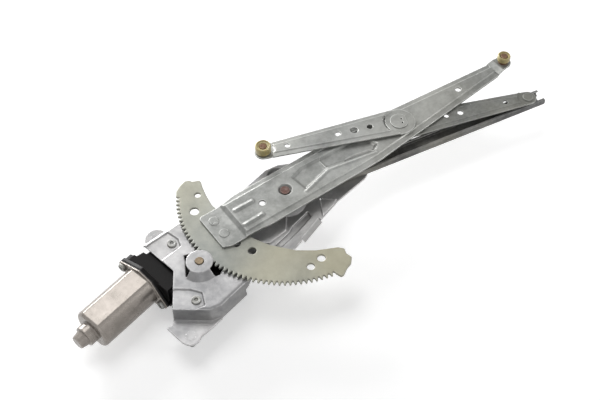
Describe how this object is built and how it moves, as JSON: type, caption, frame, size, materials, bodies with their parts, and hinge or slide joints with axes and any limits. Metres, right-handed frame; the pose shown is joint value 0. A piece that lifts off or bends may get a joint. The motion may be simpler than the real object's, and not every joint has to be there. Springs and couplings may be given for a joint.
{
  "type": "window regulator",
  "caption": "Cross-arm car window regulator: a worm-gear motor turns a toothed sector that swings a long lift arm, crossed by a balance arm guided in a rail.",
  "frame": {"origin": "on the main pivot's axis, in the plane of the inner door panel that the plate bolts to", "axes": "+X along the guide rail away from the motor, +Y the way the glass rises, +Z square to the door panel, towards the glass"},
  "size_m": [0.5449, 0.1718, 0.0655],
  "materials": {
    "zinc_plate": "satin",
    "zinc_arm": "satin",
    "zinc_sector": "satin",
    "zinc_rail": "satin",
    "zinc_stud": "satin",
    "pivot_steel": "satin",
    "black_plastic": "matte",
    "dark_steel": "satin",
    "motor_steel": "semi-gloss",
    "seal": "matte",
    "ferrite": "matte",
    "bronze": "satin",
    "carbon": "matte",
    "bright_steel": "polished",
    "core_iron": "satin",
    "copper": "satin",
    "cream_plastic": "satin",
    "pinion_brass": "satin",
    "roller_nylon": "gloss"
  },
  "bodies": {
    "base": {"base_plate": "zinc_plate", "panel_studs": "zinc_stud", "pivot_post": "pivot_steel", "pivot_washer": "zinc_stud", "guide_rail": "zinc_rail", "rail_rivets": "zinc_stud", "gearbox_housing": "black_plastic", "gearbox_cover": "black_plastic", "cover_screws": "dark_steel", "gearbox_screws": "dark_steel", "motor_can": "motor_steel", "motor_gasket": "seal", "motor_screws": "zinc_stud", "magnets": "ferrite", "rear_bearing": "bronze", "front_bearing": "bronze", "brush_holder": "cream_plastic", "brushes": "carbon", "connector_pins": "bronze"},
    "armature": {"armature_shaft": "bright_steel", "armature_core": "core_iron", "armature_windings": "copper", "commutator": "copper"},
    "output": {"worm_wheel": "cream_plastic", "pinion": "pinion_brass"},
    "lift": {"lift_arm": "zinc_arm", "sector_gear": "zinc_sector", "sector_rivets": "zinc_sector", "lift_stud": "zinc_stud"},
    "balance": {"front_arm": "zinc_arm", "rear_arm": "zinc_arm", "cross_pivot": "zinc_arm", "cross_washers": "zinc_stud", "front_stud": "zinc_stud", "rail_stud": "zinc_stud"},
    "lift_wheel": {"lift_roller": "roller_nylon"},
    "front_wheel": {"front_roller": "roller_nylon"},
    "rail_wheel": {"rail_roller": "cream_plastic"}
  },
  "joints": [
    {"name": "armature_spin", "type": "hinge", "parent": "base", "child": "armature", "pos_m": [-0.12201, -0.007, 0], "axis": [-0.9205, -0.3907, 0], "range_deg": [-50650, 30550]},
    {"name": "output_spin", "type": "hinge", "parent": "base", "child": "output", "pos_m": [-0.10825, -0.0394, 0], "axis": [0, 0, 1], "range_deg": [-510, 858]},
    {"name": "arm_swing", "type": "hinge", "parent": "base", "child": "lift", "pos_m": [0, 0, 0.0235], "axis": [0, 0, 1], "range_deg": [-63, 38]},
    {"name": "balance_swing", "type": "hinge", "parent": "lift", "child": "balance", "pos_m": [0.1428, 0.02518, 0.026], "axis": [0, 0, 1], "range_deg": [-76, 126]},
    {"name": "lift_roller_spin", "type": "hinge", "parent": "lift", "child": "lift_wheel", "pos_m": [0.28559, 0.05036, 0.037], "axis": [0, 0, 1], "continuous": true},
    {"name": "front_roller_spin", "type": "hinge", "parent": "balance", "child": "front_wheel", "pos_m": [0, 0.05036, 0.037], "axis": [0, 0, 1], "continuous": true},
    {"name": "rail_roller_spin", "type": "hinge", "parent": "balance", "child": "rail_wheel", "pos_m": [0.28559, 0, 0.014], "axis": [0, 0, 1], "continuous": true}
  ],
  "couplings": [
    {"joint": "output_spin", "follows": "armature_spin", "ratio": -0.016667},
    {"joint": "arm_swing", "follows": "armature_spin", "ratio": 0.0012438},
    {"joint": "balance_swing", "follows": "armature_spin", "ratio": -0.0024876}
  ]
}
